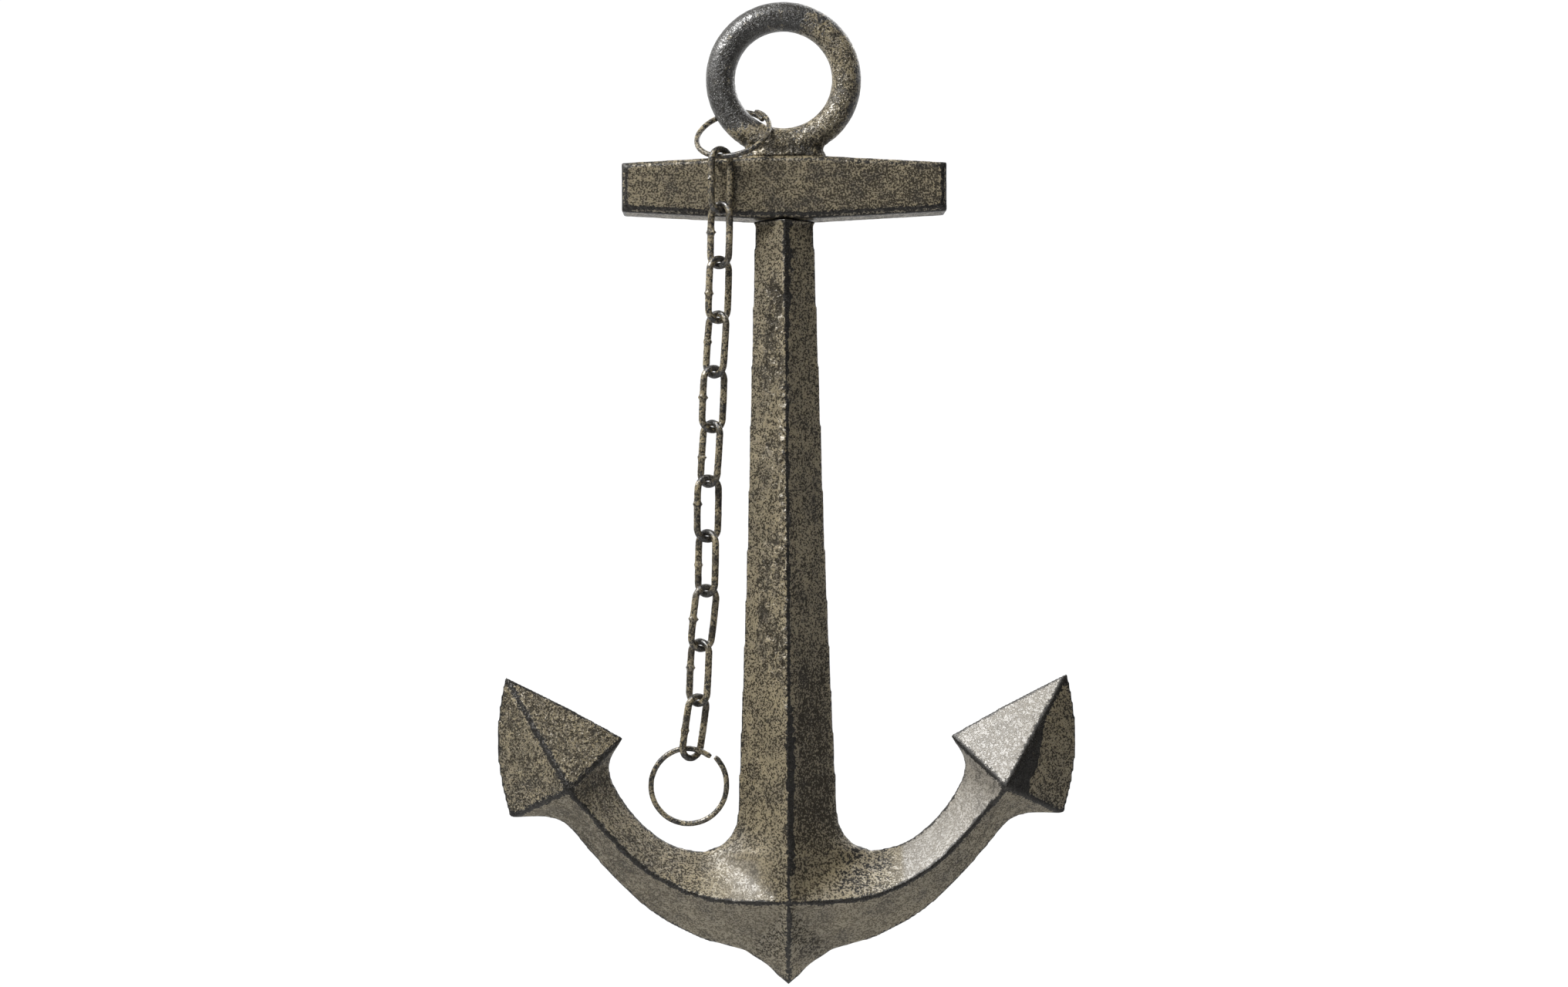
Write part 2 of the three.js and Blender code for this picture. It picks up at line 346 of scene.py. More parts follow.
class Surface:
    """The neighbours of each point of a mesh, for smoothing."""

    def __init__(self, mesh):
        self.mesh = mesh
        ends = np.empty(len(mesh.edges) * 2, np.int32)
        mesh.edges.foreach_get("vertices", ends)
        self.a, self.b = ends.reshape(-1, 2).T
        self.count = len(mesh.vertices)
        self.degree = np.maximum(np.bincount(ends, minlength=self.count), 1)

    def average(self, values):
        columns = []
        for column in values.T:
            total = np.bincount(self.a, column[self.b], self.count)
            total += np.bincount(self.b, column[self.a], self.count)
            columns.append(total / self.degree)
        return np.stack(columns, 1)

    def smooth(self, places, rounds, share=0.5):
        for _ in range(rounds):
            places = places + share * (self.average(places) - places)
        return places

    def polish(self, places, rounds):
        """Takes out the voxel steps; the outward half of each round keeps the edges from shrinking."""
        for _ in range(rounds):
            places = self.smooth(places, 1, POLISH_IN)
            places = self.smooth(places, 1, POLISH_OUT)
        return self.smooth(places, 2)

    def fill_hollows(self, places, rounds, where):
        """Smooths only where the surface is hollow, so that a sharp inner corner becomes a fillet."""
        normals = None
        for turn in range(rounds):
            if turn % FILLET_REFRESH == 0:
                put_points(self.mesh, places)
                normals = normals_of(self.mesh)
            move = self.average(places) - places
            outward = (move * normals).sum(1)
            places = places + (FILLET_SHARE * where * np.clip(outward, 0, None))[:, None] * normals
        return places

    def ridges(self, places, normals, rounds, full):
        """How far points stand off a smoothed skin: 1 on a sharp ridge, 0 on a flat face, -1 in a hollow."""
        proud = ((places - self.smooth(places, rounds)) * normals).sum(1)
        return np.clip(proud / full, -1, 1)


def noise_field(places, scale, seed, stretch=(1, 1, 1)):
    """Smooth noise, from -1 to 1 or so. scale is the size of a bump, in metres."""
    shift = Vector((seed * 7.3, seed * 3.1, seed * 5.7))
    scaled = places * (np.array(stretch) / scale)
    return np.array([noise.noise(Vector(p) + shift) for p in scaled])


def step(values, low, high):
    share = np.clip((values - low) / (high - low), 0, 1)
    return share * share * (3 - 2 * share)


def fade(values, low, high):
    """The other way round: 1 below low, 0 above high."""
    return 1 - step(values, low, high)


def band(values, low, high, soft):
    """1 between low and high, falling to 0 over soft beyond them."""
    return step(values, low - soft, low) * fade(values, high, high + soft)


def set_attributes(mesh, **fields):
    for name, values in fields.items():
        layer = mesh.attributes.new(name, "FLOAT", "POINT")
        layer.data.foreach_set("value", np.asarray(values, np.float32))


def remeshed(name, source, voxel):
    """A new object whose mesh is a fine even skin over source."""
    piece = add_object(name, source.data.copy())
    modifier = piece.modifiers.new("skin", "REMESH")
    modifier.mode = "VOXEL"
    modifier.voxel_size = voxel
    bpy.context.view_layer.update()
    evaluated = piece.evaluated_get(bpy.context.evaluated_depsgraph_get())
    mesh = bpy.data.meshes.new_from_object(evaluated)
    piece.modifiers.clear()
    piece.data = mesh
    mesh.name = name
    return piece


def finish_piece(piece, material, body, nodes):
    piece.data.materials.clear()
    piece.data.materials.append(material)
    piece.data.shade_smooth()
    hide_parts(*nodes)
    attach(piece, body)


# ---------------------------------------------------------------- castings
# From here to the wire pieces, a name that holds two places is the stretch over which something fades in or
# out, and a name that holds three numbers is a band: its two sides and how softly it ends.
WEAR_REACH = 1.5 * MM  # how wide a ridge counts as one
RIDGE_HEIGHT = 0.22 * MM  # how far a fully sharp ridge stands off a smoothed skin
CHIP_DEPTH = 0.15 * MM
FULL_HOLLOW = 0.35 * MM
SKIN_BUMPS = (0.08 * MM, 0.10 * MM)  # heights of the small and the wide bumps of a cast skin
SETTLE_ROUNDS = 3


def cast_piece(
    name, node, voxel, material, worn, rounding, fillet=None, relief=None, shape=None, dirt_and_painted_shade=None
):
    """A casting: fine skin, rounded edges, fillets, cast relief, and the wear that its ridges show."""
    piece = remeshed(name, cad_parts[node], voxel)
    surface = Surface(piece.data)
    places = surface.polish(points_of(piece.data), rounding)
    if shape:
        places = shape(places, surface)
    if fillet:
        rounds, where = fillet
        places = surface.fill_hollows(places, rounds, where(places))
        places = surface.smooth(places, SETTLE_ROUNDS)
    put_points(piece.data, places)
    normals = normals_of(piece.data)
    wear_rounds = max(4, int((WEAR_REACH / voxel) ** 2 * 4))
    edge = surface.ridges(places, normals, wear_rounds, RIDGE_HEIGHT)

    height = SKIN_BUMPS[0] * noise_field(places, 3.2 * MM, seed=1)
    height += SKIN_BUMPS[1] * noise_field(places, 11 * MM, seed=2)
    raised = coarse = calm = np.zeros(len(places))
    if relief:
        raised, coarse, calm = relief(places, normals)
        height = height * np.clip(1 - 0.5 * calm, 0, 1) + raised
    chips = noise_field(places, 2.4 * MM, seed=5)
    height -= np.clip(edge, 0, 1) * np.clip(chips, 0, 1) * CHIP_DEPTH
    put_points(piece.data, places + height[:, None] * normals)

    # hollow: browner paint in the dips of the relief, and painted shade where the given function darkens the
    # paint
    hollow = np.clip(-raised / FULL_HOLLOW, 0, 1)
    if dirt_and_painted_shade:
        hollow = np.maximum(hollow, dirt_and_painted_shade(places))
    edge = np.clip(worn(places, normals, edge), 0, 1)
    set_attributes(piece.data, edge=edge, coarse=coarse, calm=calm, hollow=hollow)
    finish_piece(piece, material, "anchor", [node])


# ---------------------------------------------------------------- shank, crown, arms and flukes
CASTING_VOXEL = 1.1 * MM
CASTING_FILLET_ROUNDS = 320

CROWN_SIDES = (0.058, 0.085)
CROWN_BOTTOM = (-0.528, -0.514)
CROWN_TOP = (-0.475, -0.455)

POINT_TOP = (-0.578, -0.566)
POINT_ROUNDS = 14
BESIDE_POINT = (0.015, 0.040, 0.010)
BESIDE_POINT_TOP = (-0.556, -0.546)
BESIDE_POINT_ROUNDS = 50
SHANK_FLARE = 3.2 * MM  # the height of the fillet under the stock
FLARE_OUT = 0.9  # how far out it reaches, against its height
FLARE_CORE = 8 * MM  # nearer to the shank's axis than this, points move outwards less

SHANK_BOTTOM = (-0.49, -0.42)
SHANK_TOP = (-0.17, -0.14)
SHANK_SIDES = (0.035, 0.05)
FRONT = (0.004, 0.010)
BUMPY_RIDGE = (-0.40, -0.23, 0.03)
BESIDE_RIDGE = (-3.5 * MM, 0.5 * MM, 1.5 * MM)
RIDGE_LUMPS = 3.2 * MM
BUMPY_WEAR = (-0.40, -0.19, 0.03)
UNDERSIDE_TOP = (-0.44, -0.42)
LEFT_ARM = (0.05, 0.08)
LEFT_ARM_COARSE = 0.34
LEAST_COARSE = 0.06
RIGHT_ARM = (0.055, 0.075)
# a patch of painted sheen at the crown's left
CROWN_SHEEN_INNER = (0.004, 0.02)
CROWN_SHEEN_OUTER = (0.030, 0.060)
CROWN_SHEEN = (-0.525, -0.505, 0.014)
CROWN_SHEEN_SHARE = 0.78
PAINTED_SHEEN_CALM = 1.7  # painted sheen: faces turned to the key light get this much, which hides crackle and mixes the paint towards silver

SHANK_WEAR_SIDES = (0.02, 0.03)
SHANK_WEAR_BOTTOM = (-0.52, -0.50)
RIDGE_LEVELS = np.linspace(-0.456, -0.402, 10)
FLUKES = (0.125, 0.135)
PATCH_TOP = -0.414
PATCH_SPREAD = 0.034  # the height over which the patch reaches its full width
PATCH_WIDTH = 14 * MM
PATCH_HEIGHTS = (-0.470, -0.412, 0.004)
SMUDGE_ACROSS = (0.036, 0.056, 0.012)
SMUDGE_HEIGHTS = (-0.520, -0.500, 0.006)
# painted shade: darker paint on the low right of the shank's front, away from the key light
PAINTED_SHADE_ACROSS = (0.008, 0.030, 0.004)
PAINTED_SHADE_HEIGHTS = (-0.480, -0.395, 0.03)


def crown_fillet(places):
    """Where the shank runs into the arms."""
    x, z = np.abs(places[:, 0]), places[:, 2]
    return fade(x, *CROWN_SIDES) * step(z, *CROWN_BOTTOM) * fade(z, *CROWN_TOP)


def shape_casting(places, surface):
    """Rounds the point and the outline beside it, and widens the shank's top into a fillet."""
    x, z = np.abs(places[:, 0]), places[:, 2]
    point = fade(z, *POINT_TOP)
    beside = band(x, *BESIDE_POINT) * fade(z, *BESIDE_POINT_TOP)
    for where, rounds in ((point, POINT_ROUNDS), (beside, BESIDE_POINT_ROUNDS)):
        places = surface.smooth(places, rounds, (0.5 * where)[:, None])
    below_top = places[:, 2].max() - places[:, 2]
    share = np.clip(1 - below_top / SHANK_FLARE, 0, 1) ** 2
    outward = places * (1, 1, 0)
    outward /= np.maximum(np.linalg.norm(outward, axis=1), FLARE_CORE)[:, None]
    return places + outward * (share * SHANK_FLARE * FLARE_OUT)[:, None]


def wrinkled_face(places):
    """Where the shank's left face is wrinkled, and how high its wrinkles stand."""
    x, y, z = places.T
    on_shank = step(z, *SHANK_BOTTOM) * fade(z, *SHANK_TOP) * fade(np.abs(x), *SHANK_SIDES)
    left_face = step(-x, 0.0, 4 * MM) * on_shank * step(-y, *FRONT)
    coarse = left_face * step(noise_field(places, 45 * MM, seed=6), -0.25, 0.35)
    ripple = noise_field(places, 3.6 * MM, seed=3, stretch=(1.0, 1.0, 0.75))
    folds = 1 - np.abs(noise_field(places, 13 * MM, seed=4, stretch=(1.1, 1.0, 0.6))) * 3.2
    wrinkles = noise_field(places, 2.9 * MM, seed=15, stretch=(1.0, 1.0, 0.7))
    raised = 2.0 * ripple + 1.2 * (np.clip(folds, 0, 1) - 0.3) + 0.9 * wrinkles
    return coarse, coarse * raised * MM


def painted_sheen_faces(places, normals):
    """Painted sheen: the upper faces of the right arm and fluke that turn up and left, towards the key light,
    and less so a patch at the crown's left.
    """
    x, y, z = places.T
    facing_up_left = step(-normals[:, 0] + normals[:, 2], 0.1, 0.4)
    right = step(x, *RIGHT_ARM) * facing_up_left * (y < 0)
    crown = step(-x, *CROWN_SHEEN_INNER) * fade(-x, *CROWN_SHEEN_OUTER) * band(z, *CROWN_SHEEN)
    return np.maximum(right, CROWN_SHEEN_SHARE * crown)


def casting_relief(places, normals):
    """Wrinkles on the shank's left face, lumps on its ridge, a calmer skin below the arms, and the faces that
    get a painted sheen.
    """
    x, z = places[:, 0], places[:, 2]
    coarse, raised = wrinkled_face(places)
    lumps = np.clip(noise_field(places, 2.6 * MM, seed=7), 0, 1)
    by_ridge = band(x, *BESIDE_RIDGE) * (normals[:, 1] < 0) * band(z, *BUMPY_RIDGE)
    raised += by_ridge * lumps * RIDGE_LUMPS
    underside = step(-normals[:, 2], 0.35, 0.6) * fade(z, *UNDERSIDE_TOP)
    coarse = np.clip(coarse * 0.8 + step(-x, *LEFT_ARM) * LEFT_ARM_COARSE + LEAST_COARSE, 0, 1)
    return raised, coarse, np.maximum(underside, painted_sheen_faces(places, normals) * PAINTED_SHEEN_CALM)


def fluke_ridge(places):
    """How far each point is to the right of the right fluke's front ridge."""
    x, z = places[:, 0], places[:, 2]
    ridge = []
    for level in RIDGE_LEVELS:
        slab = places[(np.abs(z - level) < 1.5 * MM) & (x > FLUKES[0] - 5 * MM)]
        ridge.append(slab[np.argmin(slab[:, 1]), 0])
    curve = np.poly1d(np.polyfit(RIDGE_LEVELS, ridge, 2))
    return x - np.interp(z, RIDGE_LEVELS, curve(RIDGE_LEVELS))


def casting_wear(places, normals, edge):
    """Ridges are rubbed to dark metal: much at the crown and arms, less on the bumpy middle of the shank."""
    x, z = places[:, 0], places[:, 2]
    front = normals[:, 1] < 0
    on_shank = fade(np.abs(x), *SHANK_WEAR_SIDES) * step(z, *SHANK_WEAR_BOTTOM)
    bumpy = band(z, *BUMPY_WEAR)
    flukes = step(np.abs(x), *FLUKES)
    wear = np.clip(edge * (1 + 0.15 * flukes), 0, 1) * (1 - on_shank * (0.25 + 0.45 * bumpy))

    width = (3.4 - 2.0 * bumpy) * (1 + 0.9 * noise_field(places, 4 * MM, seed=16)) * MM
    beside_ridge = band(x, 0.1 * MM, width, 0.7 * MM) * front * (np.abs(x) < SHANK_WEAR_SIDES[0])
    wear = np.maximum(wear, beside_ridge * on_shank * 0.8)

    depth = np.clip((PATCH_TOP - z) / PATCH_SPREAD, 0, 1)
    fluke_patch = band(fluke_ridge(places), 0.0, depth * PATCH_WIDTH, 1.5 * MM) * band(z, *PATCH_HEIGHTS)
    fluke_patch *= front * (normals[:, 2] > -0.3)
    wear = np.maximum(wear, fluke_patch * flukes * 0.85)

    smudge = band(x, *SMUDGE_ACROSS) * band(z, *SMUDGE_HEIGHTS) * front
    return np.maximum(wear, smudge * (0.27 + 0.30 * noise_field(places, 6 * MM, seed=10)))


def shank_painted_shade(places):
    """Painted shade: darker, browner paint on the low right part of the shank's front, the side away from the
    key light.
    """
    x, y, z = places.T
    where = band(x, *PAINTED_SHADE_ACROSS) * band(z, *PAINTED_SHADE_HEIGHTS) * step(-y, 0.0, 6 * MM)
    return where * (0.70 + 0.3 * noise_field(places, 14 * MM, seed=19))


cast_piece(
    "casting_skin", "shank_and_arms", CASTING_VOXEL, casting_paint, casting_wear, rounding=6,
    fillet=(CASTING_FILLET_ROUNDS, crown_fillet), relief=casting_relief, shape=shape_casting,
    dirt_and_painted_shade=shank_painted_shade,
)


# ---------------------------------------------------------------- stock
STOCK_VOXEL = 0.9 * MM
STOCK_ENDS = (0.090, 0.096)
STOCK_RIGHT = (-0.02, 0.06)
STOCK_LOWER_EDGE = (-12 * MM, -6 * MM)  # heights above the stock's middle
UPPER_EDGE_WEAR = 0.45


def stock_wear(places, normals, edge):
    """The lower long edge and the ends are rubbed most, the upper edge only a little."""
    x, z = places[:, 0], places[:, 2]
    middle = (z.min() + z.max()) / 2
    below = fade(z - middle, *STOCK_LOWER_EDGE)
    ends = step(np.abs(x), *STOCK_ENDS)
    return edge * (UPPER_EDGE_WEAR + (1 - UPPER_EDGE_WEAR) * np.maximum(below, ends))


def stock_tone_and_painted_shade(places):
    """A little browner all over, and painted shade: darker paint towards the right, away from the key light.
    """
    return 0.15 + 0.30 * step(places[:, 0], *STOCK_RIGHT)


cast_piece("stock_skin", "stock", STOCK_VOXEL, stock_paint, stock_wear, rounding=5, dirt_and_painted_shade=stock_tone_and_painted_shade)


# ---------------------------------------------------------------- eye ring
EYE_VOXEL = 0.8 * MM
EYE_FILLET_ROUNDS = 120
EYE_CENTRE_Z = -0.0295
EYE_OUTSIDE = (0.040, 0.046)  # distances from the ring's centre
EYE_LEFT = (-0.012, 0.030)
ABOVE_FOOT = (-0.066, -0.052)
# heights above the bottom of the foot
FOOT_FILLET = (16 * MM, 24 * MM)
FOOT_LUMPY = (8 * MM, 14 * MM)
FOOT_CLEAR = (0, 1.5 * MM)


def above_bottom(places):
    return places[:, 2] - places[:, 2].min()


def eye_fillet(places):
    """Where the ring runs into its foot."""
    return fade(above_bottom(places), *FOOT_FILLET)


def eye_relief(places, normals):
    """The foot is lumpy, except at its very bottom, and the ring a little coarse."""
    height = above_bottom(places)
    foot = fade(height, *FOOT_LUMPY)
    lumps = noise_field(places, 4.5 * MM, seed=8) * 0.7 + noise_field(places, 2.2 * MM, seed=9) * 0.35
    off_stock = step(height, *FOOT_CLEAR)
    return foot * lumps * off_stock * MM, foot * 0.7 + 0.3, np.zeros(len(places))


def eye_wear(places, normals, edge):
    """The bar is round, so its wear comes in patches: most of it on the left and round the outside."""
    x, z = places[:, 0], places[:, 2]
    patches = noise_field(places, 16 * MM, seed=13) + 0.6 * noise_field(places, 5 * MM, seed=14)
    outer = step(np.hypot(x, z - EYE_CENTRE_Z), *EYE_OUTSIDE)
    rubbed = (fade(x, *EYE_LEFT) * 0.85 + outer * 0.40) * step(z, *ABOVE_FOOT)
    return np.clip(patches * 0.5 + rubbed - 0.04, 0, 0.9)


cast_piece(
    "eye_ring_skin", "eye_ring", EYE_VOXEL, ring_paint, eye_wear, rounding=8,
    fillet=(EYE_FILLET_ROUNDS, eye_fillet), relief=eye_relief,
)


# ---------------------------------------------------------------- wire pieces
def wire_mesh(name, path, radius_at, sides, closed):
    """A tube along path, a row of (centre, across, aside) frames. radius_at gives its radius at each."""
    made = bmesh.new()
    rings = []
    for index, (centre, across, aside) in enumerate(path):
        ring = []
        for side in range(sides):
            angle = 2 * math.pi * side / sides
            radius = radius_at(index, angle)
            offset = across * math.cos(angle) + aside * math.sin(angle)
            ring.append(made.verts.new(centre + offset * radius))
        rings.append(ring)
    following = rings[1:] + rings[:1] if closed else rings[1:]
    for first, second in zip(rings, following):
        for side in range(sides):
            after = (side + 1) % sides
            made.faces.new((first[side], second[side], second[after], first[after]))
    if not closed:
        made.faces.new(rings[0])
        made.faces.new(rings[-1][::-1])
    bmesh.ops.recalc_face_normals(made, faces=made.faces)
    return add_built(name, made)


def finish_wire(piece, body, wear):
    """wear says how bare the metal is at each point, from 0 to 1."""
    mesh = piece.data
    places = points_of(mesh)
    lumps = noise_field(places, 2.6 * MM, seed=11) * 0.09 + noise_field(places, 1.1 * MM, seed=12) * 0.05
    put_points(mesh, places + (lumps * MM)[:, None] * normals_of(mesh))
    none = np.zeros(len(places))
    set_attributes(mesh, edge=wear(places), coarse=none, calm=none, hollow=none)
    finish_piece(piece, chain_paint, body, [body])


# ---------------------------------------------------------------- chain links
LINK_WIRE = 2.15 * MM  # the CAD wire's radius
LINK_SHARE = 0.985  # of that radius, away from the bows and the weld
LINK_BOW = 6.6 * MM  # to the middle of the wire
LINK_BULGE = 0.35 * MM  # how far the legs bow outwards
BOW_WORN = 0.055  # the share of the wire's radius worn off where links touch
BOW_WORN_REACH = (-0.2, 0.6)  # in bow radii beyond the end of the leg
END_BARE_REACH = (0.45, 1.0)
LINK_SIDES = 18
LINK_STEPS = 168
WELD_LENGTH = 1.5 * MM
WELD_HEIGHT = 0.30 * MM
WELD_STRAY = 0.22  # of half the leg, the farthest that a weld is from its middle
NUB_LENGTH = 0.85 * MM
NUB_HEIGHTS = (1.5 * MM, 0.9 * MM)  # into the link's hole and outwards
NUB_SHARPNESS = 6


def stadium(share, half_leg, bow):
    """A point and its outward direction on two legs joined by half circles, as (across, along) pairs."""
    leg, arc = 2 * half_leg, math.pi * bow
    run = share * 2 * (leg + arc)
    half_turn = run >= leg + arc
    run -= (leg + arc) if half_turn else 0
    if run < leg:
        place, outward = (bow, run - half_leg), (1.0, 0.0)
    else:
        angle = (run - leg) / bow
        outward = (math.cos(angle), math.sin(angle))
        place = (bow * outward[0], half_leg + bow * outward[1])
    sign = -1 if half_turn else 1
    return (sign * place[0], sign * place[1]), (sign * outward[0], sign * outward[1])


def bell(value, width):
    return math.exp(-((value / width) ** 2))


def chain_frame():
    """For each link its name, centre, long axis and short axis, from the spread of its CAD solid's points."""
    links = []
    for name in sorted(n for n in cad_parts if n.startswith("link_")):
        places = points_of(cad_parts[name].data)
        middle = (places.min(0) + places.max(0)) / 2
        along, across, _ = (Vector(v) for v in np.linalg.svd(places - middle, full_matrices=False)[2])
        along = along if along.z > 0 else -along
        across = across if across.x > 0 else -across
        links.append((name, Vector(middle), along, across))
    return links


def link_length(name, along):
    """From end to end of the link's wire, measured on the CAD solid."""
    reach = points_of(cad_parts[name].data) @ np.array(along)
    return reach.max() - reach.min()


def make_link(name, centre, along, across, number):
    """A welded link; the weld, a collar with a nub on both sides, is near the middle of its left leg."""
    aside = along.cross(across)
    half_leg = link_length(name, along) / 2 - LINK_WIRE - LINK_BOW
    weld_side = -1 if across.x > 0 else 1
    weld_at = half_leg * WELD_STRAY * math.sin(number * 2.3)
    nub_size = 0.75 + 0.25 * math.sin(number * 1.7)
    path, plain, nub = [], [], []
    for index in range(LINK_STEPS):
        place, outward = stadium(index / LINK_STEPS, half_leg, LINK_BOW)
        bulge = LINK_BULGE * max(0.0, 1 - (place[1] / (half_leg + LINK_BOW)) ** 2)
        path.append((
            centre + across * (place[0] + math.copysign(bulge, place[0])) + along * place[1],
            across * outward[0] + along * outward[1],
            aside,
        ))
        worn = BOW_WORN * float(step((abs(place[1]) - half_leg) / LINK_BOW, *BOW_WORN_REACH))
        on_leg = place[0] * weld_side > LINK_BOW * 0.9
        run = place[1] - weld_at
        collar = WELD_HEIGHT * bell(run, WELD_LENGTH) if on_leg else 0.0
        plain.append(LINK_WIRE * (LINK_SHARE - worn) + collar)
        nub.append(nub_size * bell(run, NUB_LENGTH) if on_leg else 0.0)

    def radius_at(index, angle):
        inward = max(0.0, -math.cos(angle)) ** NUB_SHARPNESS * NUB_HEIGHTS[0]
        outward = max(0.0, math.cos(angle)) ** NUB_SHARPNESS * NUB_HEIGHTS[1]
        return plain[index] + nub[index] * (inward + outward)

    def wear(places):
        reach = np.abs((places - np.array(centre)) @ np.array(along))
        ends = step((reach - half_leg) / LINK_BOW, *END_BARE_REACH)
        return 0.20 + 0.45 * ends + 0.35 * noise_field(places, 5 * MM, seed=18)

    finish_wire(wire_mesh(name + "_wire", path, radius_at, LINK_SIDES, True), name, wear)


for number, link in enumerate(chain_frame()):
    make_link(*link, number)


# ---------------------------------------------------------------- loose rings
RING_WIRE = 1.65 * MM  # the CAD wire's radius
RING_SIDES = 14
RING_STEPS = 150
RING_SHARE = 0.99  # of that radius
RING_END_SHARES = (0.72, 0.93)  # the same at the very end and one step before it, where the wire is rounded
RING_BENT = 0.16  # the share of the ring, at each end, that is bent aside


def ring_wear(places):
    return 0.35 + 0.22 * noise_field(places, 9 * MM, seed=17)


def make_loose_ring(name, open_at_degrees, opening, ends_apart):
    """A bent wire ring. opening is the gap between its ends, or below zero the length by which they overlap.

    The opening is at an angle from the ring's right-hand side. ends_apart moves the last end outwards and the
    first one inwards."""
    places = points_of(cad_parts[name].data)
    centre = (places.min(0) + places.max(0)) / 2
    normal = Vector(np.linalg.svd(places - places.mean(0), full_matrices=False)[2][2])
    normal = normal if normal.y < 0 else -normal
    right = (Vector((1, 0, 0)) - normal * normal.x).normalized()
    up = right.cross(normal) if right.cross(normal).z > 0 else normal.cross(right)
    spans = (places - centre) @ np.array([right, up]).T
    radius = (spans.max() - spans.min()) / 2 - RING_WIRE
    start = math.radians(open_at_degrees) + opening / radius / 2
    turn = 2 * math.pi - opening / radius
    path = []
    for index in range(RING_STEPS + 1):
        share = index / RING_STEPS
        angle = start + turn * share
        outward = right * math.cos(angle) + up * math.sin(angle)
        bent = float(step(share, 1 - RING_BENT, 1.0) - fade(share, 0.0, RING_BENT)) * ends_apart / 2
        path.append((Vector(centre) + outward * (radius + bent), outward, normal))

    def radius_at(index, angle):
        from_end = min(index, RING_STEPS - index)
        return RING_WIRE * (RING_END_SHARES[from_end] if from_end < len(RING_END_SHARES) else RING_SHARE)

    finish_wire(wire_mesh(name + "_wire", path, radius_at, RING_SIDES, False), name, ring_wear)


make_loose_ring("upper_ring", 40, -11 * MM, 3.2 * MM)
make_loose_ring("lower_ring", 50, 2.0 * MM, 1.6 * MM)


# ---------------------------------------------------------------- floor, light and sky
FLOOR_DROP = 0.45  # below the anchor's tip
FLOOR_Z = cad_low.z - FLOOR_DROP
FLOOR_COLOUR = (0.5, 0.5, 0.5, 1)
FLOOR_HALF_WIDTH = 6.0
FLOOR_FRONT = -5.0
FLOOR_BACK = 1.9  # where it starts to bend up into the wall
WALL_TOP = 5.0
WALL_GLOW = 1.05  # the wall is lit evenly to white
WALL_FROM = (1.3, 1.9)  # the glow fades in over this stretch of the floor's depth
BEND = 1.0  # radius of the bend between floor and wall
BEND_STEPS = 12
BACKDROP_FROM = (1.0, 2.2)  # the backdrop fades in between these distances from the middle
BACKDROP_RADIUS = 5.0
BACKDROP_TOP = 5.5
BACKDROP_SIDES = 96
BACKDROP_LIFT = 2 * MM  # above the floor
SKY_STRENGTH = 0.11
# name, azimuth to the left of the front and height in degrees, distance, size and power
SOFTBOXES = [
    ("key", 54, 51, 2.2, 1.1, 44),
    ("sheen", 34, 53, 2.2, 0.5, 17),
    ("side", 80, 38, 2.2, 1.2, 18),
    ("back", 205, 35, 2.2, 1.2, 14),
]


def bend_up(start, floor_z, top):
    """The profile of a floor that turns up into a wall, as (distance, height) pairs."""
    profile = []
    for number in range(BEND_STEPS + 1):
        angle = math.pi / 2 * number / BEND_STEPS
        profile.append((start + BEND * math.sin(angle), floor_z + BEND * (1 - math.cos(angle))))
    return profile + [(start + BEND, top)]


def join_rows(made, rows, closed):
    """Faces between neighbouring rows of points."""
    for low, high in zip(rows, rows[1:]):
        for side in range(len(low) if closed else len(low) - 1):
            after = (side + 1) % len(low)
            made.faces.new((low[side], low[after], high[after], high[side]))


def add_floor():
    """A pale sweep: a floor below the anchor that curves up into a wall behind it."""
    made = bmesh.new()
    profile = [(FLOOR_FRONT, FLOOR_Z)] + bend_up(FLOOR_BACK, FLOOR_Z, WALL_TOP)
    ends = (-FLOOR_HALF_WIDTH, FLOOR_HALF_WIDTH)
    join_rows(made, [[made.verts.new((x, y, z)) for x in ends] for y, z in profile], False)
    floor = add_built("floor", made)
    floor.data.shade_smooth()
    n = Nodes("pale_floor")
    depth = n.add("ShaderNodeSeparateXYZ", "Y", Vector=n.add("ShaderNodeTexCoord", "Object"))
    pale = n.add("ShaderNodeBsdfDiffuse", "BSDF", Color=FLOOR_COLOUR)
    glow = n.add("ShaderNodeEmission", "Emission", Strength=WALL_GLOW)
    floor.data.materials.append(n.finish(n.blend(n.smooth(depth, *WALL_FROM), pale, glow)))


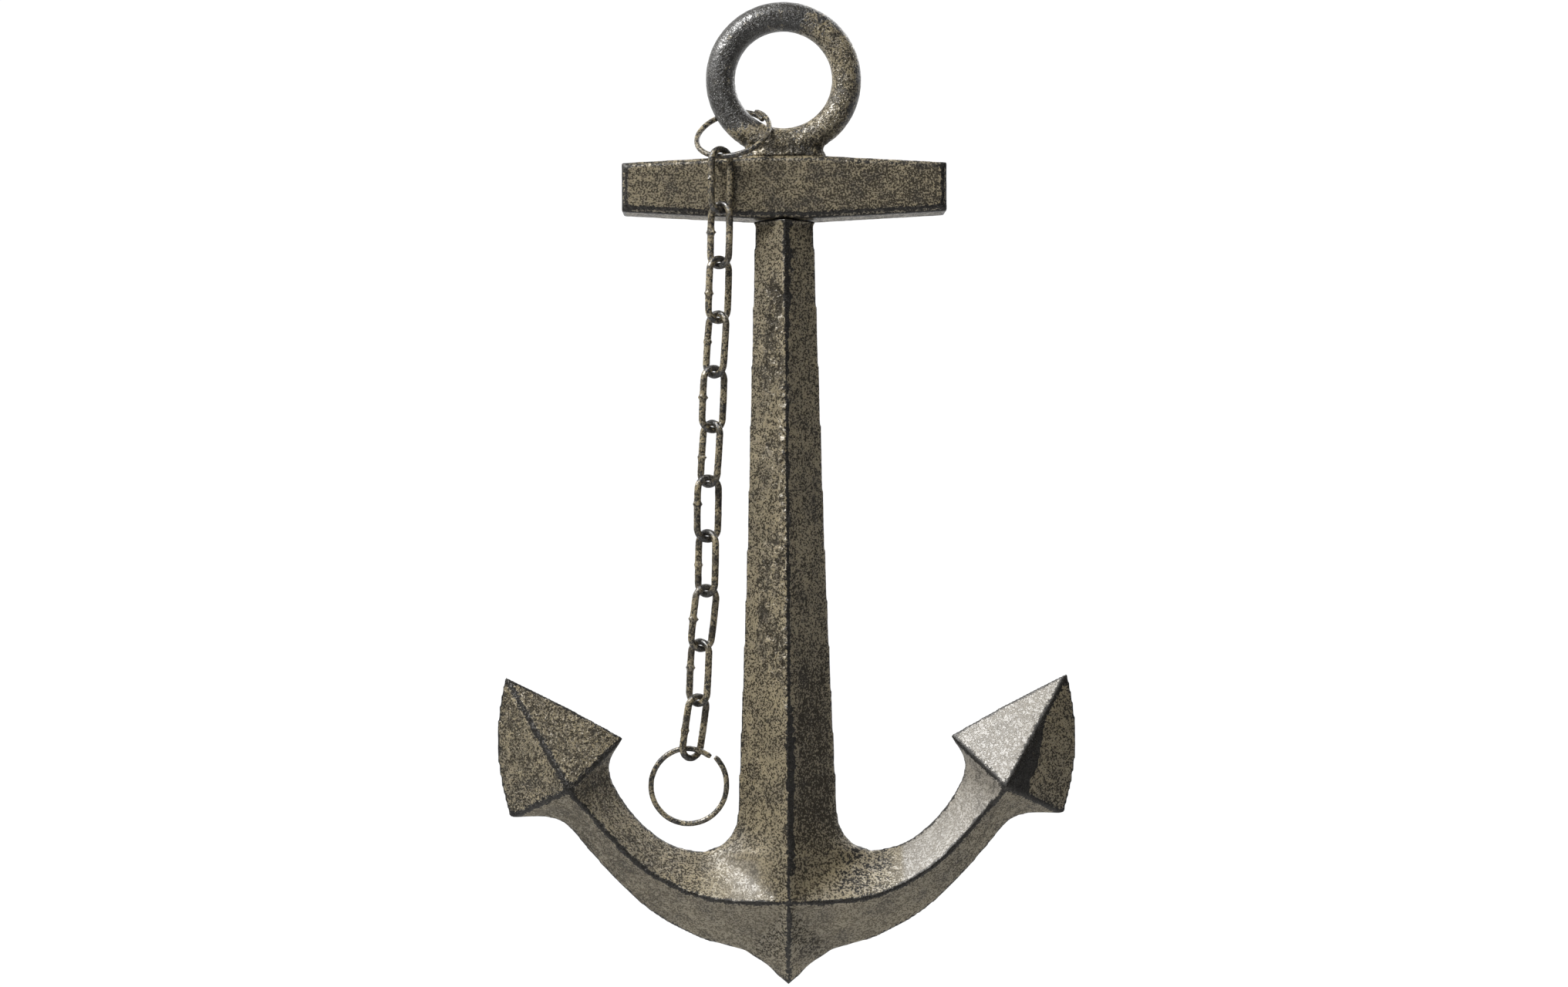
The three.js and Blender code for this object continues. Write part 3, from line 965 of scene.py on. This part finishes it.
def add_backdrop():
    """The same even white on the other sides: a bowl above the floor that casts no light on the object."""
    made = bmesh.new()
    floor_z = FLOOR_Z + BACKDROP_LIFT
    profile = [(radius, floor_z) for radius in BACKDROP_FROM]
    profile += bend_up(BACKDROP_RADIUS - BEND, floor_z, BACKDROP_TOP)
    turns = [2 * math.pi * side / BACKDROP_SIDES for side in range(BACKDROP_SIDES)]
    rows = [[made.verts.new((r * math.cos(a), r * math.sin(a), z)) for a in turns] for r, z in profile]
    join_rows(made, rows, True)
    backdrop = add_built("backdrop", made)
    on_inner_rim = np.arange(len(backdrop.data.vertices)) < BACKDROP_SIDES
    set_attributes(backdrop.data, shown=1.0 - on_inner_rim)
    backdrop.visible_diffuse = False
    backdrop.visible_glossy = False
    backdrop.visible_transmission = False
    backdrop.visible_shadow = False
    n = Nodes("white_backdrop")
    clear = n.add("ShaderNodeBsdfTransparent", "BSDF")
    glow = n.add("ShaderNodeEmission", "Emission", Strength=WALL_GLOW)
    shown = n.smooth(n.attribute("shown"), 0.0, 1.0)
    backdrop.data.materials.append(n.finish(n.blend(shown, clear, glow)))


def add_softbox(name, place, aim, size, power):
    data = bpy.data.lights.new(name, "AREA")
    data.shape = "SQUARE"
    data.size = size
    data.energy = power
    lamp = add_object(name, data)
    lamp.location = place
    lamp.rotation_euler = (Vector(aim) - Vector(place)).to_track_quat("-Z", "Y").to_euler()


def add_light():
    middle = Vector((0, 0, (cad_low.z + cad_high.z) / 2))
    for name, azimuth, height, distance, size, power in SOFTBOXES:
        azimuth, height = math.radians(azimuth), math.radians(height)
        level = Vector((-math.sin(azimuth), -math.cos(azimuth), 0))
        way = level * math.cos(height) + Vector((0, 0, math.sin(height)))
        add_softbox(name, middle + way * distance, middle, size, power)
    world = bpy.data.worlds.new("sky")
    world.use_nodes = True
    sky = world.node_tree.nodes["Background"]
    sky.inputs["Color"].default_value = (1, 1, 1, 1)
    sky.inputs["Strength"].default_value = SKY_STRENGTH
    bpy.context.scene.world = world
    bpy.context.scene.view_settings.view_transform = "Standard"


add_floor()
add_backdrop()
add_light()
